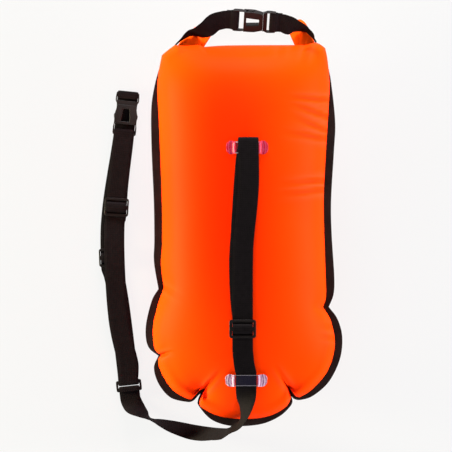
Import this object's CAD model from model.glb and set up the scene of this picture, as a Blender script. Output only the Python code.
"""Looks of the open water swim buoy: soft skins, webbing, film and hardware finishes on its CAD frame."""
import math

import bmesh
import bpy
import numpy as np
from mathutils import Matrix, Vector, noise
from mathutils.bvhtree import BVHTree


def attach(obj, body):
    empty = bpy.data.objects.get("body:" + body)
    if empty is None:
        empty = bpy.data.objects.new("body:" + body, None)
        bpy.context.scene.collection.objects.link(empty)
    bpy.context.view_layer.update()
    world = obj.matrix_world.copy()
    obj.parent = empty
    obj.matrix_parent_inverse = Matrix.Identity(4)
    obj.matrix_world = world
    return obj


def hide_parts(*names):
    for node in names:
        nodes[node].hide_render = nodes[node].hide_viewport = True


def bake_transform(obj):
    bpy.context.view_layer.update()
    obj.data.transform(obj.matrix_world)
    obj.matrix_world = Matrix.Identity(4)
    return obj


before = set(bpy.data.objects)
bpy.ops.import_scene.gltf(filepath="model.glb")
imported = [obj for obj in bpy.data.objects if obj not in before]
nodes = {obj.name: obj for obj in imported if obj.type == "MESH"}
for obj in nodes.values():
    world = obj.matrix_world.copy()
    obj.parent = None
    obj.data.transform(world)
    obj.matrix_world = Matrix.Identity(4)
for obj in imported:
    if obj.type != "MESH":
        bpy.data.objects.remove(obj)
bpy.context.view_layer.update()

# Bag
bag_width = 0.240
bag_length = 0.467
chamber_height = 0.0740
pouch_thickness = 0.0016
flange_thickness = 0.0012
fit_gap = 0.0003
rest_press_share = 1.05
side_roundness = 2.1

# Webbing
webbing_width = 0.025
webbing_thickness = 0.0014
webbing_gap = 0.0004

# Rolled mouth
roll_length = 0.150
roll_flat = 0.018
roll_sheet = 0.0016
roll_turn_gap = 0.00045
roll_height = 0.0465
roll_back_gap = 0.0055
stiffener_thickness = 0.0010

# Side release buckles
buckle_width = 0.0296
buckle_depth = 0.0086
buckle_shell = 0.0017
female_length = 0.0368
male_length = 0.0154
bar_width = 0.0058
bar_depth = 0.0026
prong_depth = 0.0044
mouth_gap = 0.0006
handle_tilt = math.radians(31.0)
handle_slope = math.radians(-3.5)
handle_height = 0.082
waist_slope = math.radians(84.3)

# Strap sliders
slider_length = 0.0224
slider_depth = 0.0026
slider_bar = 0.0032
slider_slot = 0.0056

# Link between the belt and the tow strap
link_length = 0.0140
link_bar = 0.0048

# Clear welded loops
loop_length = 0.0508
loop_width = 0.0168
loop_thickness = 0.0010
loop_bridge = 0.0286
loop_ramp = 0.0035

# Places on the bag, as shares of its width and length from its centre
handle_mouth_share = (0.071, 0.5625)
waist_mouth_share = (-0.626, 0.345)
tether_slider_share = (-0.033, -0.242)
front_slider_share = (-0.679, 0.076)
back_slider_share = (-0.708, -0.057)
junction_share = (-0.616, -0.395)
upper_loop_share = (-0.010, 0.231)
lower_loop_share = (-0.015, -0.377)
spine_low_share = -0.236
spine_high_share = 0.330
spine_side_share = -0.015
back_top_share = 0.463


def stretches(*runs):
    """Runs of an outline, each from the last point of the one before it."""
    return [list(before[-1:]) + run for before, run in zip([[], *runs], runs)]


# Outline of the panels where they meet the welded flange, from the left shoulder round the bottom
panel_runs = stretches(
    [
        (-0.461, 0.433), (-0.468, 0.383), (-0.460, 0.304), (-0.446, 0.121),
        (-0.443, -0.010), (-0.449, -0.076), (-0.435, -0.136),
    ],
    [(-0.464, -0.178), (-0.489, -0.234), (-0.487, -0.283), (-0.472, -0.304), (-0.448, -0.311)],
    [
        (-0.464, -0.331), (-0.439, -0.367), (-0.385, -0.406),
        (-0.306, -0.428), (-0.281, -0.4215), (-0.2515, -0.405), (-0.2225, -0.400),
    ],
    [
        (-0.2430, -0.4192), (-0.2520, -0.4344), (-0.2398, -0.4501), (-0.148, -0.473), (-0.022, -0.480),
        (0.097, -0.473), (0.184, -0.450), (0.213, -0.425), (0.2065, -0.4085), (0.1955, -0.3905),
    ],
    [
        (0.2245, -0.4114), (0.243, -0.4215), (0.268, -0.4205), (0.327, -0.400), (0.403, -0.352),
        (0.438, -0.286), (0.418, -0.223), (0.378, -0.186),
    ],
    [
        (0.393, -0.157), (0.390, -0.089), (0.381, 0.081), (0.390, 0.199), (0.405, 0.325), (0.411, 0.388),
        (0.407, 0.436),
    ],
)
# Outer edge of the flange, stretch for stretch beside the panels
flange_runs = stretches(
    [
        (-0.460, 0.437), (-0.483, 0.391), (-0.499, 0.331), (-0.497, 0.226), (-0.486, 0.094),
        (-0.483, -0.010), (-0.485, -0.068), (-0.462, -0.139),
    ],
    [(-0.495, -0.168), (-0.524, -0.226), (-0.526, -0.268), (-0.508, -0.295), (-0.462, -0.314)],
    [
        (-0.485, -0.346), (-0.462, -0.387), (-0.403, -0.423), (-0.321, -0.435), (-0.286, -0.4325),
        (-0.2577, -0.4173), (-0.2454, -0.4102),
    ],
    [
        (-0.2612, -0.4318), (-0.2556, -0.4462), (-0.199, -0.479), (-0.126, -0.495), (-0.046, -0.499),
        (0.066, -0.493), (0.153, -0.474), (0.204, -0.451), (0.2215, -0.4355), (0.2158, -0.4197),
    ],
    [
        (0.2296, -0.4273), (0.263, -0.430), (0.327, -0.419), (0.408, -0.382), (0.464, -0.323),
        (0.476, -0.265), (0.452, -0.218), (0.407, -0.186),
    ],
    [
        (0.432, -0.152), (0.435, -0.102), (0.422, 0.003), (0.419, 0.094), (0.434, 0.226), (0.440, 0.299),
        (0.421, 0.396), (0.407, 0.438),
    ],
)
seam_counts = (13, 9, 12, 18, 13, 13)
# Outline of the flat dry compartment, from its top left corner round the bottom
pouch_top_share = 0.436
pouch_share = [
    (-0.395, pouch_top_share), (-0.385, 0.10), (-0.375, -0.20), (-0.340, -0.310), (-0.240, -0.355),
    (-0.020, -0.365), (0.200, -0.350), (0.300, -0.310), (0.330, -0.20), (0.325, 0.10),
    (0.345, pouch_top_share),
]
# Top edge of the front panel, from the right shoulder to the left one
front_top_runs = stretches(
    [(0.407, 0.436), (0.399, 0.469), (0.389, 0.493)],
    [(0.362, 0.503), (0.334, 0.507), (0.291, 0.501)],
    [(-0.097, 0.500), (-0.230, 0.496)],
    [(-0.260, 0.501), (-0.321, 0.499), (-0.379, 0.501)],
    [(-0.418, 0.486), (-0.445, 0.474)],
    [(-0.461, 0.433)],
)
front_top_counts = (3, 4, 6, 4, 3, 2)
# Top edge of the back panel, lower because the mouth is folded over it
back_top_runs = [
    [(0.407, 0.436), (0.362, 0.454), (0.270, 0.463), (-0.270, 0.463), (-0.383, 0.454), (-0.461, 0.433)],
]
back_top_counts = (14,)

# Routes of the handle webbing: width share, length share, height share of the seam, tilt in degrees
roll_side_share = (roll_length / 2 + fit_gap * 2) / bag_width
handle_left_route = [
    (-0.175, 0.560, 1.09, 29.0), (-0.213, 0.543, 1.06, 34.0),
    (-0.255, 0.5325, 0.99, 56.0), (-0.288, 0.530, 0.91, 72.0), (-0.317, 0.5245, 0.85, 81.0),
    (-0.352, 0.512, 0.80, 88.0), (-0.375, 0.501, 0.77, 90.0), (-0.386, 0.490, 0.77, 90.0),
    (-0.381, 0.480, 0.77, 90.0), (-0.367, 0.472, 0.77, 90.0), (-0.345, 0.4690, 0.77, 90.0),
    (-roll_side_share, 0.4695, 0.77, 90.0),
]
handle_right_route = [
    (0.205, 0.5515, 1.09, 25.0), (0.240, 0.5450, 1.05, 46.0),
    (0.268, 0.5410, 0.96, 70.0), (0.298, 0.5350, 0.88, 81.0), (0.316, 0.5260, 0.82, 86.0),
    (0.338, 0.512, 0.77, 90.0), (0.348, 0.497, 0.77, 90.0), (0.345, 0.485, 0.77, 90.0),
    (0.334, 0.474, 0.77, 90.0), (roll_side_share, 0.4695, 0.77, 90.0),
]
# Front of the belt between its two lower sliders, then its back: width and length shares
belt_front_share = [
    (-0.6890, 0.036), (-0.6910, -0.010), (-0.6890, -0.066), (-0.6837, -0.126), (-0.6765, -0.1785),
    (-0.6668, -0.2257), (-0.6531, -0.2651), (-0.6347, -0.3045), (-0.6180, -0.3400),
]
# Its height there, as shares of the front slider's height, of the hump over the back one or of the link's top
belt_front_rise_share = (0.90, 1.00, 1.06, 0.95, 0.82, 0.75, 0.70, 0.64, 0.58)
belt_back_share = [(-0.625, -0.350), (-0.646, -0.260), (-0.667, -0.178), (-0.690, -0.110)]
# Route of the tether from the lower loop to the belt: width, length, seam height shares, lean
tether_drop_route = [
    (-0.0150, -0.411, 1.79, 10.0), (-0.0155, -0.428, 1.80, 28.0), (-0.0214, -0.446, 1.78, 45.0),
    (-0.0306, -0.464, 1.71, 60.0), (-0.0429, -0.482, 1.60, 74.0), (-0.0622, -0.496, 1.47, 80.0),
    (-0.0960, -0.508, 1.32, 74.0), (-0.1300, -0.518, 1.08, 68.0), (-0.1786, -0.5215, 0.70, 57.0),
    (-0.2296, -0.5215, 0.31, 46.0), (-0.302, -0.516, 0.145, 43.0), (-0.395, -0.503, 0.155, 55.0),
    (-0.460, -0.492, 0.18, 72.0), (-0.505, -0.483, 0.190, 86.0), (-0.540, -0.472, 0.175, 66.0),
    (-0.573, -0.459, 0.110, 38.0), (-0.594, -0.446, 0.050, 12.0), (-0.607, -0.432, 0.022, 0.0),
]

seam_height = chamber_height + pouch_thickness / 2 + fit_gap
ply_step = webbing_thickness + webbing_gap
wrap_offset = webbing_gap + webbing_thickness / 2


def plan(share):
    return Vector((share[0] * bag_width, share[1] * bag_length))


def curve_through(points, per_span=10):
    """Points of a smooth curve through the given ones, in any number of dimensions."""
    points = [Vector(p) for p in points]
    if len(points) < 3:
        return points
    ends = [points[0] * 2 - points[1]] + points + [points[-1] * 2 - points[-2]]
    fine = []
    for k in range(1, len(ends) - 2):
        before, start, finish, after = ends[k - 1 : k + 3]
        for step in range(per_span):
            t = step / per_span
            fine.append(
                start
                + (finish - before) * (t / 2)
                + (before * 2 - start * 5 + finish * 4 - after) * (t * t / 2)
                + (start * 3 - before - finish * 3 + after) * (t * t * t / 2)
            )
    fine.append(points[-1])
    return fine


def even_points(points, count):
    """The given number of points, evenly spaced along a line of points, without its last one."""
    reach = [0.0]
    for a, b in zip(points, points[1:]):
        reach.append(reach[-1] + (b - a).length)
    found = []
    k = 0
    for n in range(count):
        want = reach[-1] * n / count
        while reach[k + 1] < want:
            k += 1
        t = (want - reach[k]) / (reach[k + 1] - reach[k])
        found.append(points[k].lerp(points[k + 1], t))
    return found


def outline_run(shares, count):
    return even_points(curve_through([plan(s) for s in shares]), count)


def joined_outline(runs, counts):
    return [p for run, count in zip(runs, counts) for p in outline_run(run, count)]


def spine_point(point):
    """Nearest point on the bag's long middle line, toward which the panels rise."""
    low = spine_low_share * bag_length
    high = spine_high_share * bag_length
    return Vector((spine_side_share * bag_width, min(max(point.y, low), high)))


def place(share):
    return Vector((share[0] * bag_width, share[1] * bag_length, share[2] * seam_height))


def across_of(points):
    """Level width directions for a strap that lies flat, square to its route in plan."""
    found = []
    for k in range(len(points)):
        ahead = points[min(k + 1, len(points) - 1)] - points[max(k - 1, 0)]
        found.append(Vector((-ahead.y, ahead.x, 0)).normalized())
    return found


def banked(points, tilts):
    """Width directions for a route: across it in plan, tilted up by an angle in degrees."""
    directions = []
    for k, level in enumerate(across_of(points)):
        ahead = points[min(k + 1, len(points) - 1)] - points[max(k - 1, 0)]
        rise = ahead.normalized().cross(level)
        if rise.z < 0:
            rise = -rise
        angle = math.radians(tilts[k])
        directions.append(level * math.cos(angle) + rise * math.sin(angle))
    return directions


def route_stations(route, per_span=3, first=()):
    """Stations along a hand-laid route of shares and tilts, smoothed."""
    fine = curve_through([*first, *((*place(r), r[3]) for r in route)], per_span)
    points = [Vector(p[:3]) for p in fine]
    return points, [p[3] for p in fine]


def around_bar(corners, radius, steps=3):
    """A route round the corners of a bar, each with the angle it starts and ends at, in degrees."""
    line = []
    for x, z, start, finish in corners:
        for n in range(steps):
            angle = math.radians(start + (finish - start) * n / (steps - 1))
            line.append(Vector((x + radius * math.cos(angle), 0, z + radius * math.sin(angle))))
    return line


def buckle_matrix(share, height, slope, tilt):
    """Local X along the pull, local Y across the webbing and local Z out of the front."""
    spot = plan(share)
    return (
        Matrix.Translation((spot.x, spot.y, height))
        @ Matrix.Rotation(slope, 4, "Z")
        @ Matrix.Rotation(tilt, 4, "X")
    )


handle_frame = buckle_matrix(handle_mouth_share, handle_height, handle_slope, handle_tilt)
ply_low = ply_step * 2 + webbing_gap
waist_height = ply_low + buckle_depth / 2 + webbing_gap
waist_frame = buckle_matrix(waist_mouth_share, waist_height, waist_slope, 0.0)


half_width = buckle_width / 2
rail_depth = buckle_depth / 2 - buckle_shell
bar_start = -female_length
slot_start = bar_start + bar_width
female_bar_corners = [(slot_start, bar_depth / 2, 90, 0), (slot_start, -bar_depth / 2, 0, -90)]
male_bar_start = male_length - bar_width
male_bar_corners = [(male_bar_start, bar_depth / 2, 90, 180), (male_bar_start, -bar_depth / 2, 180, 270)]
wrap_tail = 0.008
sewn_spread_share = 1.35
tail_bend_share = 0.35
tail_lip_share = 0.12
lip_rise_share = 0.9
arm_start_shares = (tail_bend_share, 0.75, 1.2)


def slider_frame(spot, height, slope, pitch=0.0):
    return (
        Matrix.Translation((spot.x, spot.y, height))
        @ Matrix.Rotation(slope, 4, "Z")
        @ Matrix.Rotation(pitch, 4, "Y")
    )


under_bar = slider_depth / 2 + wrap_offset
under_sewn = under_bar + ply_step
slot_outer = slider_length / 2 - slider_bar
middle_half = slot_outer - slider_slot
link_inner = link_length / 2 - link_bar
front_slider_height = ply_low + under_sewn + webbing_thickness / 2
back_slider_height = fit_gap + under_sewn + webbing_thickness / 2
junction_height = fit_gap + under_bar + webbing_thickness / 2


# Points of a strap on its way down through a slot: shares of the slot and of the height under a bar
thread_share = [(-0.20, -1.0), (0.09, -0.95), (0.27, -0.50), (0.44, 0.12)]


def threaded(from_end):
    """A strap through a slider, in its frame: under one bar, over the middle and under the other."""
    over = around_bar([(middle_half, slider_depth / 2, 0, 90)], wrap_offset + ply_step, 4)
    half = [Vector((slider_length / 2 + ply_step, 0, -under_bar))]
    half += [Vector((slot_outer - slider_slot * x, 0, under_bar * z)) for x, z in thread_share] + over
    line = half + [Vector((-p.x, 0, p.z)) for p in half[::-1]]
    return line if from_end > 0 else line[::-1]


sewn_tail_share = 0.1
# Points of the sewn end as it leaves: offsets beyond the middle bar and depths, as shares
sewn_lip_share = 1.15
sewn_drop_share = (0.45, 0.93)


def sewn_end():
    """The sewn end of a strap round a slider's middle bar, ending at its side of the slider."""
    far = slider_length / 2
    wrap = around_bar(
        [
            (middle_half, -slider_depth / 2, -90, 0), (middle_half, slider_depth / 2, 0, 90),
            (-middle_half, slider_depth / 2, 90, 180),
        ],
        wrap_offset,
    )
    tail = [Vector((-middle_half * sewn_tail_share, 0, -under_bar))]
    leave = [
        Vector((-middle_half - wrap_offset, 0, -slider_depth / 2)),
        Vector((-middle_half - wrap_offset * sewn_lip_share, 0, -under_bar)),
        Vector((-middle_half - slider_slot * sewn_drop_share[0], 0, -under_sewn * sewn_drop_share[1])),
        Vector((-slot_outer, 0, -under_sewn)),
        Vector((-far - ply_step, 0, -under_sewn)),
    ]
    return [Vector((-p.x, 0, p.z)) for p in tail + wrap + leave]


def smooth_join(start, start_way, finish, finish_way, count):
    """Points of a curve that leaves and arrives along given directions."""
    reach = (finish - start).length
    found = []
    for n in range(1, count + 1):
        t = n / (count + 1)
        h1 = 2 * t**3 - 3 * t**2 + 1
        h2 = t**3 - 2 * t**2 + t
        h3 = -2 * t**3 + 3 * t**2
        h4 = t**3 - t**2
        found.append(start * h1 + start_way * (h2 * reach) + finish * h3 + finish_way * (h4 * reach))
    return found


class StrapRoute:
    """The middle line of a strap as it is laid, with its width direction at each point."""

    def __init__(self):
        self.line = []
        self.side = []

    def lay(self, points, across):
        self.line += points
        self.side += across

    def through(self, hardware, points):
        """Lays points that are given in the frame of a slider or a buckle."""
        across = (hardware.to_3x3() @ Vector((0, 1, 0))).normalized()
        self.lay([hardware @ Vector(p) for p in points], [across] * len(points))

    def curve_to(self, way, finish, finish_way, count, turning=False):
        """Lays a curve that leaves and arrives along given directions."""
        joined = smooth_join(self.line[-1], way, finish, finish_way, count)
        across = across_of([self.line[-1]] + joined)[1:] if turning else [self.side[-1]] * count
        self.lay(joined, across)

    def wander(self, middle, finish):
        """Lays a flat curve through hand-laid places, up to a next one."""
        fine = curve_through([self.line[-1]] + middle + [finish], 2)[1:-1]
        self.lay(fine, across_of(fine))

    def stations(self):
        """Points of the strap, with width directions that never turn about."""
        found = []
        reference = self.side[0]
        for point, across in zip(self.line, self.side):
            reference = -across if across.dot(reference) < 0 else across
            found.append((point, reference, 1.0))
        return found


front_spot = plan(front_slider_share)
back_spot = plan(back_slider_share)
junction_spot = plan(junction_share)
front_slope = math.radians(86.5)
back_slope = math.radians(92.0)
junction_slope = math.radians(96.0)
front_frame = slider_frame(front_spot, front_slider_height, front_slope)
back_frame = slider_frame(back_spot, back_slider_height, back_slope)
junction_frame = slider_frame(junction_spot, junction_height, junction_slope)
# Places of the belt at the plug's bar and under the waist buckle, as shares
male_rise_share = 0.6
male_approach_share = 2.2
male_turn_share = (0.4, 0.93)
under_buckle_share = 0.5


# A lobe from its rounded end: shares of half the loop's length, then of its width
lobe_stop_shares = (-1.0, -0.97, -0.90, -0.80)
lobe_width_shares = (0.35, 0.62, 0.86, 1.0)
lobe_inner_share = 0.96
bridge_width_share = 0.86


slider_float_share = 0.45
# Places of the tow strap's three plies on the panel, as width and length shares
tether_back_share = [
    (-0.044, -0.160), (-0.050, -0.070), (-0.042, 0.000), (-0.029, 0.110), (-0.016, 0.195),
    (-0.007, 0.231), (-0.004, 0.250),
]
tether_fold_share = (-0.004, 0.2565)
tether_front_share = [
    (-0.004, 0.252), (-0.004, 0.231), (-0.002, 0.190), (-0.003, 0.130), (-0.014, 0.060),
    (-0.030, -0.024), (-0.033, -0.100), (-0.033, -0.170),
]
tether_low_share = [
    (-0.032, -0.300), (-0.025, -0.335), (-0.016, -0.357), (-0.015, -0.377), (-0.015, -0.396),
]
# Its lift over the panel there, as shares of the lift over the loops or next to the panel
front_lift_share = (0.93, 1.0, 1.03, 1.05, 1.1, 1.15, 1.15, 1.1)
first_low_share = 0.5
low_lift_share = (1.3, 1.15, 1.15, 1.2)


# Finishes
class Signal:
    """The output of a shader node: arithmetic on it adds math nodes."""

    def __init__(self, socket):
        self.socket = socket

    def __add__(self, other):
        return maths("ADD", self, other)

    def __radd__(self, other):
        return maths("ADD", other, self)

    def __sub__(self, other):
        return maths("SUBTRACT", self, other)

    def __rsub__(self, other):
        return maths("SUBTRACT", other, self)

    def __mul__(self, other):
        return maths("MULTIPLY", self, other)

    def __pow__(self, other):
        return maths("POWER", self, other)

    def __abs__(self):
        return maths("ABSOLUTE", self)


def feed(value, socket):
    """Links a signal to a socket, or sets it to a number or a colour."""
    if isinstance(value, Signal):
        socket.id_data.links.new(value.socket, socket)
    else:
        socket.default_value = (*value, 1.0) if isinstance(value, tuple) else value


def maths(operation, *values):
    """A math node on numbers and at least one signal."""
    tree = next(value.socket.id_data for value in values if isinstance(value, Signal))
    made = tree.nodes.new("ShaderNodeMath")
    made.operation = operation
    for value, socket in zip(values, made.inputs):
        feed(value, socket)
    return Signal(made.outputs[0])


# Period in metres of a wave texture whose scale is one
band_period = 0.314159


class Finish:
    """A material with one principled shader and the procedural pattern that feeds it."""

    def __init__(self, name, colour, roughness, specular):
        self.material = bpy.data.materials.new(name)
        self.material.use_nodes = True
        self.tree = self.material.node_tree
        self.shader = self.tree.nodes["Principled BSDF"]
        self.set("Base Color", colour)
        self.set("Roughness", roughness)
        self.set("Specular IOR Level", specular)

    def set(self, name, value):
        feed(value, self.shader.inputs[name])

    def node(self, kind, output, **values):
        """Adds a node with these inputs and settings, and gives one of its outputs."""
        made = self.tree.nodes.new(kind)
        for key, value in values.items():
            if key in made.inputs:
                feed(value, made.inputs[key])
            else:
                setattr(made, key, value)
        return Signal(made.outputs[output])

    def place(self, kind="Object"):
        return self.node("ShaderNodeTexCoord", kind)

    def axes(self, source):
        made = self.tree.nodes.new("ShaderNodeSeparateXYZ")
        feed(source, made.inputs[0])
        return Signal(made.outputs["X"]), Signal(made.outputs["Y"])

    def noise(self, source, scale, detail, rough=0.5):
        return self.node(
            "ShaderNodeTexNoise", "Fac", Scale=scale, Detail=detail, Roughness=rough, Vector=source
        )

    def wave(self, source, axis, period):
        """Ribs across an axis with a period in metres."""
        scale = band_period / period
        return self.node(
            "ShaderNodeTexWave", "Fac", wave_type="BANDS", bands_direction=axis, Scale=scale, Vector=source
        )

    def clamped(self, value):
        return self.node("ShaderNodeClamp", "Result", Value=value)

    def ramp(self, source, *stops):
        made = self.tree.nodes.new("ShaderNodeValToRGB")
        for element, (position, colour) in zip(made.color_ramp.elements, stops):
            element.position = position
            element.color = (*colour, 1.0)
        feed(source, made.inputs["Fac"])
        return Signal(made.outputs["Color"])

    def mixed(self, factor, first, second):
        made = self.tree.nodes.new("ShaderNodeMix")
        made.data_type = "RGBA"
        for value, index in ((factor, 0), (first, 6), (second, 7)):
            feed(value, made.inputs[index])
        return Signal(made.outputs[2])

    def bump(self, height, distance, strength, **below):
        """Relief on the shader, on top of the normal of an earlier one where that is given."""
        values = {"Strength": strength, "Distance": distance, "Height": height, **below}
        normal = self.node("ShaderNodeBump", "Normal", **values)
        self.set("Normal", normal)
        return normal


# The stretched middle of a panel is a deeper orange
taut_orange = (0.80, 0.0165, 0.0002)
taut_centre = (-0.040, 0.060)
taut_half_size = (0.052, 0.168)
# The coating is paler on the ridge of a fold and deeper in its groove
ridge_orange = (0.85, 0.0430, 0.0075)
ridge_strength = 1.6
groove_orange = (0.80, 0.0250, 0.0003)
groove_strength = 0.9
ripstop_pitch = 0.0007


def coated_fabric(name, deep, bright, roughness):
    """Coated ripstop: a fine square weave under a soft sheen, with slow changes of colour."""
    finish = Finish(name, bright, roughness, 0.008)
    spot = finish.place()
    tint = finish.ramp(finish.noise(spot, 9.0, 2.0), (0.3, deep), (0.7, bright))
    x, y = finish.axes(spot)
    aside = (x - taut_centre[0]) * (1 / taut_half_size[0])
    along = (y - taut_centre[1]) * (1 / taut_half_size[1])
    far = aside * aside + abs(along) ** 4.0
    whole = finish.mixed(maths("EXPONENT", far * -1.0), tint, taut_orange)
    fold = finish.node("ShaderNodeAttribute", "Fac", attribute_name="fold")
    ridge = finish.clamped(fold * ridge_strength)
    groove = finish.clamped(fold * -groove_strength)
    whole = finish.mixed(groove, finish.mixed(ridge, whole, ridge_orange), groove_orange)
    finish.set("Base Color", whole)
    weave = finish.wave(spot, "X", ripstop_pitch) + finish.wave(spot, "Y", ripstop_pitch)
    fine = finish.bump(weave, 0.00003, 0.6)
    finish.bump(finish.noise(spot, 38.0, 3.0), 0.0005, 0.3, Normal=fine)
    return finish.material


rib_pitch = 0.0021
pick_pitch = 0.0026


def woven_strap(name, colour, lighter):
    """Flat nylon webbing: ribs along the strap crossed by fine picks."""
    finish = Finish(name, colour, 0.72, 0.02)
    uv = finish.place("UV")
    weave = finish.wave(uv, "X", rib_pitch) * finish.wave(uv, "Y", pick_pitch)
    mottled = weave * 0.7 + finish.noise(uv, 160.0, 2.0)
    finish.set("Base Color", finish.ramp(mottled, (0.25, colour), (1.1, lighter)))
    finish.bump(weave, 0.00018, 0.8)
    return finish.material


def weld_tape(name, colour, lighter):
    """Welded edge tape: a fine pressed grain, with scuffs."""
    finish = Finish(name, colour, 0.62, 0.05)
    spot = finish.place()
    grain = finish.noise(spot, 900.0, 2.0)
    scuff = finish.noise(spot, 55.0, 4.0, 0.6)
    finish.set("Base Color", finish.ramp(scuff, (0.35, colour), (0.8, lighter)))
    fine = finish.bump(grain, 0.00008, 0.6)
    finish.bump(scuff, 0.0006, 0.4, Normal=fine)
    return finish.material


def moulded(name, colour, lighter, roughness):
    """Moulded plastic: a spark-eroded grain and faint flow marks."""
    finish = Finish(name, colour, roughness, 0.10)
    spot = finish.place()
    flow = finish.noise(spot, 120.0, 3.0)
    finish.set("Base Color", finish.ramp(flow, (0.35, colour), (0.75, lighter)))
    finish.bump(finish.noise(spot, 2600.0, 1.0), 0.00004, 0.5)
    return finish.material


weld_line_pitch = 0.0031
weld_line_bow = 22.0
bridge_rim = 0.0011
bridge_dark = (0.012, 0.010, 0.026)
bridge_pale = (0.20, 0.185, 0.22)
bridge_alpha = 0.35
rim_alpha = 0.45
lobe_alpha = 0.93


def film(name, share, pale, line):
    """Clear film: pale bowed weld lines on its lobes, see-through and rimmed where it bridges the strap."""
    finish = Finish(name, pale, 0.3, 0.05)
    centre = plan(share)
    spot = finish.place()
    x, y = finish.axes(spot)
    out = abs(x - centre.x)
    off = abs(y - centre.y)
    bow = out + off * off * weld_line_bow
    wave = maths("SINE", bow * (2 * math.pi / weld_line_pitch))
    streak = finish.noise(spot, 420.0, 2.0)
    tint = finish.ramp(wave * 0.22 + streak, (0.30, line), (0.62, pale))
    lobe = maths("GREATER_THAN", out, loop_bridge / 2)
    rim = maths("GREATER_THAN", off, loop_width * bridge_width_share / 2 - bridge_rim)
    bridge = finish.mixed(rim, bridge_dark, bridge_pale)
    finish.set("Base Color", finish.mixed(lobe, bridge, tint))
    thin = bridge_alpha + rim * rim_alpha
    finish.set("Alpha", lobe * lobe_alpha + (1.0 - lobe) * thin)
    finish.bump(wave, 0.0002, 0.5)
    return finish.material


orange = coated_fabric("orange_coated_fabric", (0.79, 0.0320, 0.0003), (0.82, 0.0370, 0.0004), 0.5)
roll_orange = coated_fabric("orange_roll_fabric", (0.88, 0.060, 0.0010), (0.94, 0.075, 0.0015), 0.5)
inner_orange = coated_fabric("orange_inner_fabric", (0.62, 0.035, 0.001), (0.70, 0.042, 0.001), 0.6)
strap_black = woven_strap("black_webbing", (0.0036, 0.0028, 0.0032), (0.0072, 0.0056, 0.0064))
tape_black = weld_tape("black_weld_tape", (0.0078, 0.0054, 0.0052), (0.0140, 0.0095, 0.0088))
plastic_black = moulded("black_plastic", (0.0056, 0.0040, 0.0040), (0.0080, 0.0058, 0.0057), 0.42)
film_upper = film("clear_film_upper", upper_loop_share, (0.38, 0.036, 0.085), (0.36, 0.004, 0.018))
film_lower = film("clear_film_lower", lower_loop_share, (0.42, 0.29, 0.38), (0.22, 0.09, 0.18))
valve_white = moulded("valve_plastic", (0.44, 0.44, 0.42), (0.54, 0.54, 0.52), 0.4)


# Mesh helpers
def mesh_piece(name, vertices, faces, material, smooth_angle=50.0, uvs=None):
    data = bpy.data.meshes.new(name)
    data.from_pydata([tuple(v) for v in vertices], [], faces)
    if uvs is not None:
        layer = data.uv_layers.new(name="along_and_across")
        for loop in data.loops:
            layer.data[loop.index].uv = uvs[loop.vertex_index]
    made = bmesh.new()
    made.from_mesh(data)
    bmesh.ops.recalc_face_normals(made, faces=made.faces)
    made.to_mesh(data)
    made.free()
    data.shade_smooth()
    data.set_sharp_from_angle(angle=math.radians(smooth_angle))
    data.materials.append(material)
    piece = bpy.data.objects.new(name, data)
    bpy.context.scene.collection.objects.link(piece)
    return piece


sheet_uv_step = 0.002


def grid_sheet(name, rows, thickness, material, smooth_angle=60.0):
    """A closed sheet of even thickness through a grid of middle points."""
    count = len(rows)
    width = len(rows[0])
    front = []
    back = []
    for i in range(count):
        for j in range(width):
            down = rows[min(i + 1, count - 1)][j] - rows[max(i - 1, 0)][j]
            along = rows[i][min(j + 1, width - 1)] - rows[i][max(j - 1, 0)]
            normal = along.cross(down).normalized() * (thickness / 2)
            front.append(rows[i][j] + normal)
            back.append(rows[i][j] - normal)
    total = count * width
    faces = []
    for i in range(count - 1):
        for j in range(width - 1):
            a, b = i * width + j, i * width + j + 1
            c, d = b + width, a + width
            faces.append((a, b, c, d))
            faces.append((total + d, total + c, total + b, total + a))
    rim = [j for j in range(width)] + [i * width + width - 1 for i in range(1, count)]
    rim += [(count - 1) * width + j for j in range(width - 2, -1, -1)]
    rim += [i * width for i in range(count - 2, 0, -1)]
    for k, a in enumerate(rim):
        b = rim[(k + 1) % len(rim)]
        faces.append((a, total + a, total + b, b))
    uvs = [(i * sheet_uv_step, j * sheet_uv_step) for i in range(count) for j in range(width)] * 2
    return mesh_piece(name, front + back, faces, material, smooth_angle, uvs)


def part_of_bag(piece, node_name):
    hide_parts(node_name)
    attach(piece, "bag")


def smoothed_ring(points, rounds):
    """The same ring with its notches eased out, without shrinking much."""
    ring = [p.copy() for p in points]
    count = len(ring)
    for n in range(rounds):
        for share in (0.5, -0.51):
            ring = [
                ring[k] + ((ring[k - 1] + ring[(k + 1) % count]) / 2 - ring[k]) * share for k in range(count)
            ]
    return ring


def ease(t):
    t = min(max(t, 0.0), 1.0)
    return t * t * (3 - 2 * t)


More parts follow.
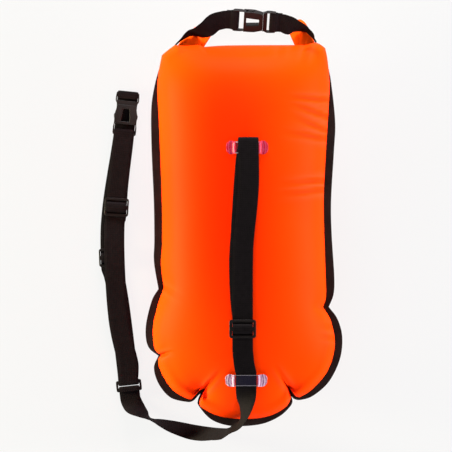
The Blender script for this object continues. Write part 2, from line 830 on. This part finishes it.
# Creases of the front panel: two ends in shares, width and depth in metres
crease_list = [
    ((0.425, 0.356), (0.170, 0.362), 0.0030, 0.0030), ((0.425, 0.308), (0.195, 0.347), 0.0032, 0.0036),
    ((0.422, 0.270), (0.200, 0.315), 0.0032, 0.0033), ((0.420, 0.254), (0.140, 0.272), 0.0032, 0.0033),
    ((0.415, 0.147), (0.120, 0.133), 0.0032, 0.0033), ((0.415, 0.123), (0.110, 0.106), 0.0032, 0.0030),
    ((0.430, -0.240), (0.350, -0.232), 0.0030, 0.0009), ((0.430, -0.268), (0.340, -0.262), 0.0030, 0.0009),
    ((-0.435, -0.136), (-0.320, -0.170), 0.0030, 0.0006),
    ((-0.446, -0.312), (-0.370, -0.300), 0.0024, 0.0014),
    ((-0.222, -0.400), (-0.130, -0.345), 0.0030, 0.0016), ((0.196, -0.390), (0.120, -0.330), 0.0030, 0.0016),
    ((-0.232, 0.495), (-0.205, 0.482), 0.0016, 0.0012), ((0.051, -0.476), (0.051, -0.464), 0.0018, 0.0012),
    ((-0.056, -0.440), (-0.056, -0.425), 0.0030, 0.0006), ((0.300, 0.495), (0.270, 0.440), 0.0034, 0.0010),
    ((0.170, 0.495), (0.160, 0.455), 0.0034, 0.0007),
]
# Swell beside a crease: how far out in its widths, and how high as a share of its depth
swell_reach = 1.7
swell_share = 0.45


def crease_lifts(spots):
    """How far the creases move the panel at places in plan."""
    size = np.array((bag_width, bag_length))
    lift = np.zeros(len(spots))
    for start, finish, width, depth in crease_list:
        way = np.array(finish) * size - np.array(start) * size
        beyond = spots - np.array(start) * size
        t = np.clip((beyond @ way) / (way @ way), 0.0, 1.0)
        off = np.linalg.norm(beyond - t[:, None] * way, axis=1) / width
        fade = 1.0 - t * t * (3 - 2 * t)
        lift += depth * fade * (swell_share * np.exp(-((off - swell_reach) ** 2)) - np.exp(-(off**2)))
    return lift


# The film's height along the bag is taken against its middle, and never against less than
# these shares of its highest, between these two places
least_rise_shares = (0.80, 0.54)
least_rise_places = (-0.12, 0.12)
middle_blur_cells = 10


def inflation(outline, cell=0.0015, rounds=700):
    """How far a film that is held at the outline rises, on a grid, against the height of its own middle."""
    shape = np.array([(p.x, p.y) for p in outline])
    low = shape.min(axis=0) - 3 * cell
    wide, tall = ((shape.max(axis=0) - low) / cell + 4).astype(int)
    inside = np.zeros((tall, wide), bool)
    ahead = np.roll(shape, -1, axis=0)
    for row in range(tall):
        y = low[1] + row * cell
        spans = (shape[:, 1] > y) != (ahead[:, 1] > y)
        a, b = shape[spans], ahead[spans]
        met = np.sort(a[:, 0] + (y - a[:, 1]) / (b[:, 1] - a[:, 1]) * (b[:, 0] - a[:, 0]))
        for left, right in zip(met[::2], met[1::2]):
            inside[row, math.ceil((left - low[0]) / cell) : math.floor((right - low[0]) / cell) + 1] = True
    even = np.add.outer(np.arange(tall), np.arange(wide)) % 2 == 0
    rise = np.zeros((tall, wide))
    pull = 2 / (1 + math.sin(math.pi / wide))
    for _ in range(rounds):
        for mask in (inside & even, inside & ~even):
            around = np.zeros_like(rise)
            around[1:-1, 1:-1] = rise[2:, 1:-1] + rise[:-2, 1:-1] + rise[1:-1, 2:] + rise[1:-1, :-2]
            rise += mask * (pull * ((around + cell * cell) / 4 - rise))
    middle = rise.max(axis=1)
    margin = 3 * middle_blur_cells
    spread = np.exp(-((np.arange(-margin, margin + 1) / middle_blur_cells) ** 2))
    middle = np.convolve(np.pad(middle, margin, mode="edge"), spread / spread.sum(), mode="valid")
    heights = low[1] + cell * np.arange(tall)
    least = np.interp(heights, least_rise_places, least_rise_shares) * rise.max()
    level = (middle**6 + least**6) ** (1 / 6)
    return low, cell, np.clip(rise / level[:, None], 0, 1)


def sampled(field, spots):
    low, cell, values = field
    at = (spots - low) / cell
    whole = np.floor(at).astype(int)
    part = at - whole
    x, y = whole[:, 0], whole[:, 1]
    u, v = part[:, 0], part[:, 1]
    return (
        values[y, x] * (1 - u) * (1 - v) + values[y, x + 1] * u * (1 - v)
        + values[y + 1, x] * (1 - u) * v + values[y + 1, x + 1] * u * v
    )


seam_gap = pouch_thickness / 2 + fit_gap
# Rings of a panel: how they crowd at the weld, where the crown starts and how far in it ends
ring_crowding = 1.6
crown_start = 0.93
crown_end = 0.985
crown_rings = 6
# Share of the way in at which the notches are eased out
notch_depth_share = 0.35
# Distance from the weld at which the film's own rise starts to take over, and how long that takes
weld_band = 0.004
weld_blend = 0.012
# Depth of a fold whose colour is full, and how the colour fades with less depth
deep_fold = 0.0033
fold_fade = 0.65


def skin(name, node_name, outline, side, rings):
    """A blown-up panel: rings inside its welded edge, lifted like a stretched film."""
    soft = smoothed_ring(outline, 260)
    count = len(outline)
    spots = []
    edge_rise = []
    from_weld = []
    for n in range(rings + crown_rings + 1):
        t = n / rings
        inward = 1.0 - math.cos(min(t, crown_start) * math.pi / 2) ** ring_crowding
        if t > crown_start:
            last = (rings + crown_rings) / rings
            inward += (crown_end - inward) * (t - crown_start) / (last - crown_start)
        for k, point in enumerate(outline):
            start = point.lerp(soft[k], ease(inward / notch_depth_share))
            flat = start.lerp(spine_point(start), inward)
            spots.append((flat.x, flat.y))
            edge_rise.append((1.0 - (1.0 - inward) ** side_roundness) ** (1.0 / side_roundness))
            from_weld.append((flat - point).length)
    spots = np.array(spots)
    full = sampled(inflation(outline), spots)
    film_rise = (1 - (1 - full) ** (side_roundness / 2)) ** (1 / side_roundness)
    blend = np.clip((np.array(from_weld) - weld_band) / weld_blend, 0, 1)
    blend = blend * blend * (3 - 2 * blend)
    rise = np.array(edge_rise) * (1 - blend) + film_rise * blend
    if side < 0:
        rise = np.minimum(1.0, rise * rest_press_share)
    lifts = crease_lifts(spots) * (side > 0)
    z = seam_height + side * (seam_gap + chamber_height * rise) + lifts * np.clip(rise * 3, 0, 1)
    faces = []
    crown = len(spots) - count
    for a in range(crown):
        b = a + 1 if (a + 1) % count else a + 1 - count
        faces.append((a, b, b + count, a + count))
    faces.append(tuple(range(count))[::-1])
    faces.append(tuple(range(crown, crown + count)))
    piece = mesh_piece(name, [(x, y, h) for (x, y), h in zip(spots, z)], faces, orange, 80.0)
    folds = np.sign(lifts) * np.abs(lifts / deep_fold) ** fold_fade
    piece.data.attributes.new("fold", "FLOAT", "POINT").data.foreach_set("value", folds)
    part_of_bag(piece, node_name)
    return piece


outline_times = 6


def fine_outline(runs, counts):
    return joined_outline(runs, [count * outline_times for count in counts])


seam_line = fine_outline(panel_runs, seam_counts)
front_line = seam_line + fine_outline(front_top_runs, front_top_counts)
back_line = seam_line + fine_outline(back_top_runs, back_top_counts)
front_skin = skin("front_panel", "front_chamber", front_line, 1, 44)
skin("back_panel", "back_chamber", back_line, -1, 22)


def surface_of(part):
    data = part.data
    return BVHTree.FromPolygons([v.co for v in data.vertices], [tuple(p.vertices) for p in data.polygons])


cad_surface = surface_of(nodes["front_chamber"])
fine_surface = surface_of(front_skin)
sky_height = 4 * chamber_height


def cad_height(x, y):
    hit = cad_surface.ray_cast(Vector((x, y, sky_height)), Vector((0, 0, -1)))
    return hit[0].z if hit[0] else seam_height


def surface_height(x, y):
    hit = fine_surface.ray_cast(Vector((x, y, sky_height)), Vector((0, 0, -1)))
    return max(hit[0].z, cad_height(x, y)) if hit[0] else cad_height(x, y)


def height_under_strap(x, y, source=surface_height):
    reach = webbing_width / 2
    return max(source(x + reach * across / 3, y) for across in range(-3, 4))


# Welded edge
tuck_share = 0.03
flange_wave = 0.0016
flange_wave_scale = 22


def make_flange():
    inner = seam_line + [plan(panel_runs[-1][-1])]
    outer = fine_outline(flange_runs, seam_counts) + [plan(flange_runs[-1][-1])]
    steps = 8
    rows = []
    for near, far in zip(inner, outer):
        tucked = near.lerp(spine_point(near), tuck_share)
        wave = noise.noise(Vector((*far * flange_wave_scale, 1.5))) * flange_wave
        spots = [(tucked.lerp(far, step / steps), step / steps) for step in range(steps + 1)]
        rows.append([Vector((*spot, seam_height + wave * t)) for spot, t in spots])
    piece = grid_sheet("welded_edge", rows, flange_thickness, tape_black)
    part_of_bag(piece, "seam_flange")


make_flange()

sheet_share = 0.9


def make_pouch():
    pouch_line = curve_through([plan(s) for s in pouch_share], 6)
    pairs = list(zip(pouch_line, pouch_line[::-1]))[: len(pouch_line) // 2]
    steps = 9
    rows = []
    for step in range(steps + 1):
        rows.append([Vector((*left.lerp(right, step / steps), seam_height)) for left, right in pairs])
    piece = grid_sheet("pouch_layers", rows, pouch_thickness * sheet_share, inner_orange)
    part_of_bag(piece, "dry_pouch")


make_pouch()

# Rolled mouth
roll_turns = 1.5


def make_roll():
    first_radius = stiffener_thickness / 2 + fit_gap + roll_sheet / 2
    pitch = roll_sheet + roll_turn_gap
    last_radius = first_radius + pitch * roll_turns
    throat_y = back_top_share * bag_length + roll_back_gap / 2 + roll_sheet / 2
    centre = Vector((throat_y + last_radius, roll_height))
    flat = roll_flat / 2
    line = [centre + Vector((first_radius, flat))]
    for half_turn in range(int(roll_turns * 2)):
        end = -flat if half_turn % 2 == 0 else flat
        for n in range(13):
            turn = (half_turn + n / 12) / 2
            angle = turn * 2 * math.pi
            radius = first_radius + pitch * turn
            line.append(centre + Vector((radius * math.cos(angle), end - radius * math.sin(angle))))
    bend = roll_sheet
    for n in range(7):
        angle = math.pi / 2 * n / 6
        line.append(
            Vector((throat_y - bend * (1 - math.cos(angle)), seam_height - bend + bend * math.sin(angle)))
        )
    line.append(Vector((pouch_top_share * bag_length + fit_gap, seam_height)))
    half = roll_length / 2
    columns = 31
    along = [-half + 2 * half * j / (columns - 1) for j in range(columns)]
    rows = [[Vector((x, point.x, point.y)) for x in along] for point in line]
    piece = grid_sheet("rolled_mouth_fabric", rows, roll_sheet * sheet_share, orange)
    part_of_bag(piece, "rolled_mouth")


make_roll()


# Ends of the roll: where their hidden edge is, how far they sink and swell, and how their folds lean
ear_foot_share = (0.4731, 0.925)
ear_sink = 0.0022
ear_swell = 0.0012
fold_lean = 0.25


def make_ear(side, tops, feet, folds):
    """An end of the roll: gathered fabric that fans out under the handle webbing."""
    top = curve_through([place(s) for s in tops], 6)
    low = curve_through([place((x, *ear_foot_share)) for x in feet], 6)
    steps = 16
    rows = []
    for k, (upper, lower) in enumerate(zip(top, low)):
        row = []
        s = k / (len(top) - 1)
        for step in range(steps + 1):
            t = step / steps
            rise = ear_swell
            for centre, spread, depth in folds:
                rise += depth * math.exp(-(((s - centre - fold_lean * t) / spread) ** 2))
            row.append(upper.lerp(lower, t) + Vector((0, 0, rise * math.sin(math.pi * t) - ear_sink)))
        rows.append(row)
    piece = grid_sheet(f"roll_end_fabric_{side}", rows, roll_sheet, roll_orange)
    part_of_bag(piece, f"roll_end_{side}")


make_ear(
    "left",
    [
        (-0.372, 0.490, 0.64), (-0.352, 0.508, 0.62), (-0.325, 0.526, 0.62), (-0.300, 0.5345, 0.62),
        (-0.272, 0.549, 0.66), (-0.245, 0.545, 0.70), (-0.215, 0.535, 0.76), (-0.196, 0.525, 0.82),
    ],
    (-0.308, -0.302, -0.296, -0.290, -0.283, -0.275, -0.267, -0.260),
    [(0.42, 0.05, -0.0012), (0.72, 0.06, -0.0014), (0.57, 0.05, 0.0008), (0.20, 0.08, -0.0006)],
)
make_ear(
    "right",
    [
        (0.345, 0.493, 0.64), (0.334, 0.508, 0.62), (0.318, 0.528, 0.60), (0.304, 0.5440, 0.60),
        (0.284, 0.561, 0.62), (0.258, 0.569, 0.66), (0.235, 0.560, 0.72), (0.207, 0.532, 0.82),
    ],
    (0.308, 0.302, 0.296, 0.290, 0.283, 0.275, 0.267, 0.258),
    [(0.40, 0.05, -0.0012), (0.70, 0.06, -0.0014), (0.55, 0.05, 0.0008), (0.18, 0.08, -0.0006)],
)


# Webbing
def between(start, finish, t, t_start, t_finish):
    span = t_finish - t_start
    return start * ((t_finish - t) / span) + finish * ((t - t_start) / span)


def fine_stations(stations, spacing=0.0022):
    """Evenly close stations along a strap: centre, width direction, thickness direction, share, reach."""
    kept = [stations[0]]
    for station in stations[1:]:
        if (station[0] - kept[-1][0]).length > fit_gap:
            kept.append(station)
    points = [s[0] for s in kept]
    ends = [points[0] * 2 - points[1]] + points + [points[-1] * 2 - points[-2]]
    found = []
    for k in range(len(points) - 1):
        p0, p1, p2, p3 = ends[k : k + 4]
        t0 = 0.0
        t1, t2, t3 = np.cumsum([max((b - a).length, 1e-6) ** 0.5 for a, b in ((p0, p1), (p1, p2), (p2, p3))])
        steps = max(1, math.ceil((p2 - p1).length / spacing))
        for step in range(steps):
            share = step / steps
            t = t1 + (t2 - t1) * share
            a1 = between(p0, p1, t, t0, t1)
            a2 = between(p1, p2, t, t1, t2)
            a3 = between(p2, p3, t, t2, t3)
            centre = between(between(a1, a2, t, t0, t2), between(a2, a3, t, t1, t3), t, t1, t2)
            across = kept[k][1].lerp(kept[k + 1][1], share)
            width = kept[k][2] + (kept[k + 1][2] - kept[k][2]) * share
            found.append((centre, across, width))
    found.append(kept[-1])
    fine = []
    reach = 0.0
    for k, (centre, across, width) in enumerate(found):
        ahead = found[min(k + 1, len(found) - 1)][0] - found[max(k - 1, 0)][0]
        if k:
            reach += (centre - found[k - 1][0]).length
        across = (across - ahead * (across.dot(ahead) / ahead.length_squared)).normalized()
        up = ahead.cross(across).normalized()
        fine.append((centre, across, up, width, reach))
    return fine


columns_across = 10
# A strap's section: how its columns crowd at the selvedges, and how much thinner these are
selvedge_crowding = 0.8
selvedge_thinning = 0.62
selvedge_power = 14


def ribbon(
    name, lengths, material, width=webbing_width, thickness=webbing_thickness
):
    """One or more lengths of flat strap with rounded selvedges, as one piece."""
    vertices = []
    uvs = []
    faces = []
    ring = 2 * (columns_across + 1)
    for stations in lengths:
        first = len(vertices)
        for centre, across, up, share, reach in stations:
            for side in (1, -1):
                for j in range(columns_across + 1):
                    u = (-1 + 2 * j / columns_across) * side
                    u = math.copysign(abs(u) ** selvedge_crowding, u)
                    half = thickness / 2 * (1 - selvedge_thinning * abs(u) ** selvedge_power) * side
                    vertices.append(centre + across * (u * width * share / 2) + up * half)
                    uvs.append((u * width / 2, reach))
        last = len(vertices) - ring
        for a in range(first, last):
            b = a + 1 if (a + 1 - first) % ring else a + 1 - ring
            faces.append((a, b, b + ring, a + ring))
        faces.append(tuple(range(first, first + ring))[::-1])
        faces.append(tuple(range(last, last + ring)))
    piece = mesh_piece(name, vertices, faces, material, 55.0, uvs)
    return piece


def cut(stations, test):
    """Two lengths of a strap, which share the first station that meets the test."""
    k = next(k for k, station in enumerate(stations) if test(station[0]))
    return stations[: k + 1], stations[k:]


def cut_from_end(stations, test):
    """The same, with the test made from the far end."""
    after, before = cut(stations[::-1], test)
    return before[::-1], after[::-1]


def handle_arm(bar_edge, corners, hand_route, way):
    """An arm of the handle, sewn round a bar of the buckle."""
    stack = ply_step * sewn_spread_share / 2
    wrap_height = bar_depth / 2 + wrap_offset
    back = [
        Vector((bar_edge + way * wrap_tail, 0, -stack)),
        Vector((bar_edge + way * wrap_tail * tail_bend_share, 0, -stack)),
        Vector((bar_edge + way * wrap_tail * tail_lip_share, 0, -wrap_height * lip_rise_share)),
    ]
    wrap = around_bar(corners, wrap_offset)
    local = back + wrap[::-1] + [Vector((back[-1].x, 0, -back[-1].z))]
    local += [Vector((bar_edge + way * wrap_tail * reach, 0, stack)) for reach in arm_start_shares]
    route = StrapRoute()
    route.through(handle_frame, local)
    first = (*route.line[-1], math.degrees(handle_tilt))
    points, tilts = route_stations(hand_route, 3, [first])
    lean = banked(points, [tilt * way for tilt in tilts])
    route.lay(points[1:], lean[1:])
    return [fine_stations(route.stations())]


left_arm = handle_arm(bar_start, female_bar_corners, handle_left_route, -1)
strap = ribbon("handle_strap_left", left_arm, strap_black)
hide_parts("handle_webbing_left")
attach(strap, "bag")
right_arm = handle_arm(male_length, male_bar_corners, handle_right_route, 1)
strap = ribbon("handle_strap_right", right_arm, strap_black)
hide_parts("handle_webbing_right")
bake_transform(strap)


def belt_stations():
    route = StrapRoute()
    lead = waist_frame.to_3x3() @ Vector((1, 0, 0))
    front_way = front_frame.to_3x3() @ Vector((1, 0, 0))
    back_way = back_frame.to_3x3() @ Vector((1, 0, 0))

    # From the front slider round the socket's bar and back through the slider
    route.through(front_frame, sewn_end())
    lip_drop = (bar_depth / 2 + wrap_offset) * lip_rise_share
    low_ply = Vector((bar_start - wrap_tail * tail_lip_share, 0, -lip_drop))
    high_ply = Vector((low_ply.x, 0, -low_ply.z))
    route.curve_to(front_way, waist_frame @ low_ply, lead, 4)
    route.through(waist_frame, [low_ply] + around_bar(female_bar_corners, wrap_offset)[::-1] + [high_ply])
    route.curve_to(-lead, front_frame @ threaded(1)[0], -front_way, 4)
    route.through(front_frame, threaded(1))

    # Down to the junction, round its bar, and up through the back slider
    upper_bar = [(link_inner, slider_depth / 2, 90, 180), (link_inner, -slider_depth / 2, 180, 270)]
    over = Vector((link_length / 2 + ply_step, 0, under_bar))
    hump = back_slider_height + under_sewn + ply_step
    bases = [front_slider_height] + [hump] * (len(belt_front_share) - 1)
    rises = zip(belt_front_share, bases, belt_front_rise_share)
    route.wander([Vector((*plan(s), base * share)) for s, base, share in rises], junction_frame @ over)
    under = Vector((over.x, 0, -over.z))
    route.through(junction_frame, [over] + around_bar(upper_bar, wrap_offset) + [under])
    low_back = fit_gap + webbing_thickness / 2
    route.wander([Vector((*plan(s), low_back)) for s in belt_back_share], back_frame @ threaded(-1)[0])
    route.through(back_frame, threaded(-1))

    # Up under the waist buckle, round the plug's bar, and back to the back slider
    male_bar = [
        (male_bar_start, -bar_depth / 2, 180, 180), (male_bar_start, bar_depth / 2, 180, 90),
        (male_length, bar_depth / 2, 90, 0), (male_length, -bar_depth / 2, 0, 0),
    ]
    upper = back_slider_height - under_bar - waist_height
    lower = back_slider_height - under_sewn - waist_height
    under_buckle = mouth_gap - female_length * under_buckle_share
    before = Vector((under_buckle, 0, upper))
    rise = [
        before,
        Vector((male_bar_start - wrap_offset - ply_step * male_approach_share, 0, upper)),
        Vector((male_bar_start - wrap_offset - ply_step * male_rise_share, 0, -buckle_depth / 2)),
    ]
    turn = [
        Vector((male_length + wrap_offset, 0, (lower - bar_depth / 2) / 2)),
        Vector((male_length + wrap_offset * male_turn_share[0], 0, lower * male_turn_share[1])),
        Vector((male_length - bar_width, 0, lower)),
        Vector((under_buckle, 0, lower)),
    ]
    route.curve_to(back_way, waist_frame @ before, lead, 6, turning=True)
    route.through(waist_frame, rise + around_bar(male_bar, wrap_offset) + turn)
    tail = sewn_end()[::-1]
    route.curve_to(-lead, back_frame @ tail[0], -back_way, 6, turning=True)
    route.through(back_frame, tail)
    return fine_stations(route.stations())


turn_height = 0.1


def after_turn(past):
    """A test that a strap meets once it has been far up and has come down past a place."""
    been_up = []

    def test(point):
        if point.y > turn_height:
            been_up.append(True)
        return bool(been_up) and point.y < past

    return test


# Place along the belt where its middle pieces and its buckle piece meet
belt_split = 0.04


def make_belt():
    """The belt, cut where its pieces have to follow different sliders and buckle halves."""
    front_end = front_spot.y - slider_length / 2 - ply_step
    low_end = junction_spot.y + link_inner + wrap_offset / 2
    back_end = back_spot.y + slider_length / 2 + ply_step
    top, rest = cut(belt_stations(), after_turn(front_end))
    front, rest = cut(rest, lambda p: p.y < low_end)
    back, rest = cut(rest, lambda p: p.y > back_end)
    middle_up, rest = cut(rest, lambda p: p.y > belt_split)
    rest, tail = cut_from_end(rest, lambda p: p.y >= back_end)
    buckle_end, middle_down = cut_from_end(rest, lambda p: p.y >= belt_split)
    # Name, lengths, the two bodies that they follow, and where one takes over from the other
    pieces = [
        ("belt_strap_top", [top], "bag", "belt_slider_front", 0.112, 0.054),
        ("belt_strap_front", [front], "belt_slider_front", "bag", 0.0215, -0.05),
        ("belt_strap_back", [back, tail], "bag", "belt_slider_back", -0.16, -0.046),
        ("belt_strap_middle", [middle_up, middle_down], "belt_slider_back", "bag", -0.0135, 0.036),
        ("belt_strap_buckle", [buckle_end], "bag", "waist_male", 0.046, 0.158),
    ]
    for name, lengths, first, second, start, end in pieces:
        piece = ribbon(name, lengths, strap_black)
        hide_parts("belt_webbing")
        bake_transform(piece)


make_belt()

# Film loops
loop_base = fit_gap + loop_thickness / 2
bridge_rise = fit_gap + webbing_thickness + webbing_gap * 2 + loop_thickness / 2
loop_spacing = 0.0012


def loop_stations(share):
    spot = plan(share)
    half = loop_length / 2
    stops = [*lobe_stop_shares, -(loop_bridge / 2 + loop_ramp) / half, -loop_bridge / 2 / half]
    lifts = [loop_base] * (len(stops) - 1) + [bridge_rise]
    widths = [*lobe_width_shares, lobe_inner_share, bridge_width_share]
    stops += [-s for s in stops[::-1]]
    lifts += lifts[::-1]
    widths += widths[::-1]
    flat = max(surface_height(spot.x + webbing_width / 2 * s, spot.y) for s in (-1, 0, 1))
    reach = loop_width / 2
    slope = (surface_height(spot.x, spot.y + reach) - surface_height(spot.x, spot.y - reach)) / loop_width
    across = Vector((0, 1, slope)).normalized()
    stations = []
    for stop, lift, width in zip(stops, lifts, widths):
        x = spot.x + half * stop
        high = [
            surface_height(x + loop_ramp * u, spot.y + reach * v / 2) - slope * reach * v / 2
            for u in (-1, 0, 1)
            for v in range(-2, 3)
        ]
        base = max(high) if lift == loop_base else flat
        stations.append((Vector((x, spot.y, base + lift / across.y)), across, width))
    return stations


for label, share, material in (
    ("upper", upper_loop_share, film_upper),
    ("lower", lower_loop_share, film_lower),
):
    fine = fine_stations(loop_stations(share), loop_spacing)
    piece = ribbon(f"film_loop_{label}", [fine], material, loop_width, loop_thickness)
    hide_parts(f"{label}_loop")
    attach(piece, "bag")

# Tow strap
slider_spot = plan(tether_slider_share)
slider_reach = slider_length / 2
slider_fall = math.atan2(
    height_under_strap(slider_spot.x, slider_spot.y + slider_reach, cad_height)
    - height_under_strap(slider_spot.x, slider_spot.y - slider_reach, cad_height),
    slider_length,
)
slider_clear = under_sewn + webbing_thickness / 2 + webbing_gap + ply_step * slider_float_share
slider_middle = height_under_strap(slider_spot.x, slider_spot.y, cad_height)
tether_frame = slider_frame(slider_spot, slider_middle + slider_clear, math.radians(90.0), -slider_fall)


def tether_stations():
    def over_panel(share, lift):
        x, y = plan(share)
        return Vector((x, y, height_under_strap(x, y) + lift))

    route = StrapRoute()
    level = Vector((-1, 0, 0))
    route.through(tether_frame, sewn_end())
    low_lift = fit_gap + webbing_gap + webbing_thickness / 2
    high_lift = bridge_rise + loop_thickness / 2 + webbing_gap + webbing_thickness / 2
    back = [over_panel(s, low_lift) for s in tether_back_share]
    fold = over_panel(tether_fold_share, (low_lift + high_lift) / 2)
    front = [over_panel(s, high_lift * lift) for s, lift in zip(tether_front_share, front_lift_share)]
    fine = curve_through([route.line[-1]] + back, 2)[1:] + [fold] + curve_through(front, 2)
    route.lay(fine, [level] * len(fine))
    route.through(tether_frame, threaded(1))
    lifts = [high_lift * first_low_share] + [low_lift * share for share in low_lift_share]
    low = [over_panel(s, lift) for s, lift in zip(tether_low_share, lifts)]
    fine = curve_through([route.line[-1]] + low, 2)[1:]
    route.lay(fine, [level] * len(fine))
    points, tilts = route_stations(tether_drop_route, 2)
    route.lay(points, banked(points, tilts))
    lower_bar = [(-link_inner, -slider_depth / 2, -90, 0), (-link_inner, slider_depth / 2, 0, 90)]
    under = Vector((-link_length / 2 - ply_step, 0, -under_bar))
    over = Vector((-link_length / 2, 0, under_bar))
    route.through(junction_frame, [under] + around_bar(lower_bar, wrap_offset) + [over])
    return fine_stations(route.stations())


def make_tether():
    past = slider_spot.y - slider_length / 2 - ply_step
    upper, lower = cut(tether_stations(), after_turn(past))
    piece = ribbon("tow_strap_upper", [upper], strap_black)
    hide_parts("tether_webbing")
    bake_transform(piece)
    piece = ribbon("tow_strap_lower", [lower], strap_black)
    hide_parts("tether_webbing")
    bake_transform(piece)


make_tether()


# Hardware
def finish_node(name, body, material, width=0.00028):
    """A crisp copy of a hardware node with moulded edges."""
    source = nodes[name]
    data = source.data.copy()
    shape = bmesh.new()
    shape.from_mesh(data)
    bmesh.ops.remove_doubles(shape, verts=shape.verts, dist=1e-6)
    bmesh.ops.dissolve_limit(shape, angle_limit=math.radians(1.0), verts=shape.verts, edges=shape.edges)
    shape.to_mesh(data)
    shape.free()
    data.name = f"{name}_finish"
    data.materials.clear()
    data.materials.append(material)
    data.shade_smooth()
    data.set_sharp_from_angle(angle=math.radians(35.0))
    piece = bpy.data.objects.new(f"{name}_finish", data)
    bpy.context.scene.collection.objects.link(piece)
    bevel = piece.modifiers.new("edges", "BEVEL")
    bevel.width = width
    bevel.segments = 2
    bevel.limit_method = "ANGLE"
    bevel.angle_limit = math.radians(35.0)
    bevel.harden_normals = True
    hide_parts(name)
    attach(piece, body)


for kind in ("handle", "waist"):
    finish_node(f"{kind}_buckle_female", "bag", plastic_black, 0.0005)
    finish_node(f"{kind}_buckle_male", f"{kind}_male", plastic_black, 0.0004)
    finish_node(f"{kind}_buckle_prong_a", f"{kind}_prong_a", plastic_black, 0.0004)
    finish_node(f"{kind}_buckle_prong_b", f"{kind}_prong_b", plastic_black, 0.0004)
finish_node("belt_junction", "bag", plastic_black, 0.0005)
for name in ("tether_slider", "belt_slider_front", "belt_slider_back"):
    finish_node(name, name, plastic_black, 0.0005)
for side in ("left", "right"):
    finish_node(f"valve_base_{side}", "bag", valve_white, 0.0003)
    finish_node(f"valve_cap_{side}", f"valve_cap_{side}", valve_white, 0.0003)
    finish_node(f"valve_flap_{side}", "bag", plastic_black, 0.0001)
finish_node("mouth_stiffener", "bag", plastic_black, 0.0002)


# Lips of a plug's collar: reach along the pull, width, clearance from the prongs, height and bow
collar_start = 0.00012
collar_end = 0.00100
collar_half_width = half_width * 0.93 * 0.96
collar_end_share = 0.97
collar_clearance = 0.0002
collar_height = rail_depth * 0.95
collar_roundness = 0.30
collar_bow = 0.45


def mouth_collar(name, buckle_frame, body):
    """The plug's thin collar: two lips above and below the prongs, which close the socket's mouth."""
    spots = []
    faces = []
    count = 27
    low = prong_depth / 2 + collar_clearance
    for side in (-1, 1):
        first = len(spots)
        for k in range(count):
            across = collar_end_share * (2 * k / (count - 1) - 1)
            bow = (1.0 - abs(across) ** (2 / collar_roundness)) ** (collar_bow / 2)
            high = max(collar_height * bow, low + collar_clearance)
            corners = ((collar_start, low), (collar_end, low), (collar_end, high), (collar_start, high))
            for reach, up in corners:
                spots.append(buckle_frame @ Vector((reach, collar_half_width * across, side * up)))
        last = len(spots) - 4
        for a in range(first, last):
            b = a + 1 if (a + 1 - first) % 4 else a - 3
            faces.append((a, b, b + 4, a + 4))
        faces += [tuple(range(first, first + 4)), tuple(range(last, last + 4))[::-1]]
    collar = mesh_piece(name, spots, faces, plastic_black)
    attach(collar, body)


mouth_collar("handle_mouth_collar", handle_frame, "handle_male")
mouth_collar("waist_mouth_collar", waist_frame, "waist_male")

# Floor, light and camera
floor_reach = 6.0
floor_drop = 0.0006
floor_corners = [
    (x * floor_reach, y * floor_reach, -floor_drop) for x, y in ((-1, -1), (1, -1), (1, 1), (-1, 1))
]
floor_data = bpy.data.meshes.new("studio_floor")
floor_data.from_pydata(floor_corners, [], [(0, 1, 2, 3)])
floor = bpy.data.objects.new("studio_floor", floor_data)
bpy.context.scene.collection.objects.link(floor)
paper = Finish("studio_paper", (0.05, 0.05, 0.05), 1.0, 0.0)
paper.set("Emission Color", (1.0, 1.0, 1.0))
paper.set("Emission Strength", 0.84)
floor_data.materials.append(paper.material)


def lamp(name, kind, spot, aim, power, **values):
    data = bpy.data.lights.new(name, kind)
    data.energy = power
    for key, value in values.items():
        setattr(data, key, value)
    made = bpy.data.objects.new(name, data)
    made.location = spot
    made.rotation_euler = (Vector(aim) - Vector(spot)).to_track_quat("-Z", "Y").to_euler()
    bpy.context.scene.collection.objects.link(made)


bag_middle = (0, 0, 0.12)
lamp("left_box", "AREA", (-1.6, 0.05, 0.20), bag_middle, 120, size=0.36, color=(1.0, 0.95, 0.62))
lamp("right_box", "AREA", (1.6, -0.05, 0.33), bag_middle, 68, size=0.6, color=(1.0, 0.97, 0.92))
lamp("back_box", "AREA", (0.0, 1.7, 0.40), bag_middle, 80, size=0.7)
lamp("front_box", "AREA", (-0.35, -1.6, 0.80), bag_middle, 30, size=1.5)
lamp("top_box", "AREA", (0.0, 0.3, 2.6), (0, 0, 0.1), 8, size=1.6)
spot_shape = {"spot_size": math.radians(13), "spot_blend": 1.0, "shadow_soft_size": 0.12}
lamp("handle_spot", "SPOT", (0.0, 0.50, 1.6), (0.0, 0.262, 0.08), 90, **spot_shape)
world = bpy.data.worlds.new("studio")
bpy.context.scene.world = world
world.use_nodes = True
world.node_tree.nodes["Background"].inputs["Color"].default_value = (1.0, 1.0, 1.0, 1.0)
world.node_tree.nodes["Background"].inputs["Strength"].default_value = 0.10
bpy.context.scene.view_settings.view_transform = "Standard"

# The camera stands over the middle of the photograph, whose scale and size set its lens
metres_per_pixel = 0.001225
photo_size = 452
bag_middle_pixel = (249, 236)
camera_height = 12.0
camera_data = bpy.data.cameras.new("camera")
camera_data.sensor_width = 36.0
camera_data.lens = camera_data.sensor_width * (camera_height - seam_height) / (photo_size * metres_per_pixel)
camera_data.clip_end = 60.0
camera = bpy.data.objects.new("camera", camera_data)
bpy.context.scene.collection.objects.link(camera)
camera.location = (
    (photo_size / 2 - bag_middle_pixel[0]) * metres_per_pixel,
    (bag_middle_pixel[1] - photo_size / 2) * metres_per_pixel,
    camera_height,
)
bpy.context.scene.camera = camera
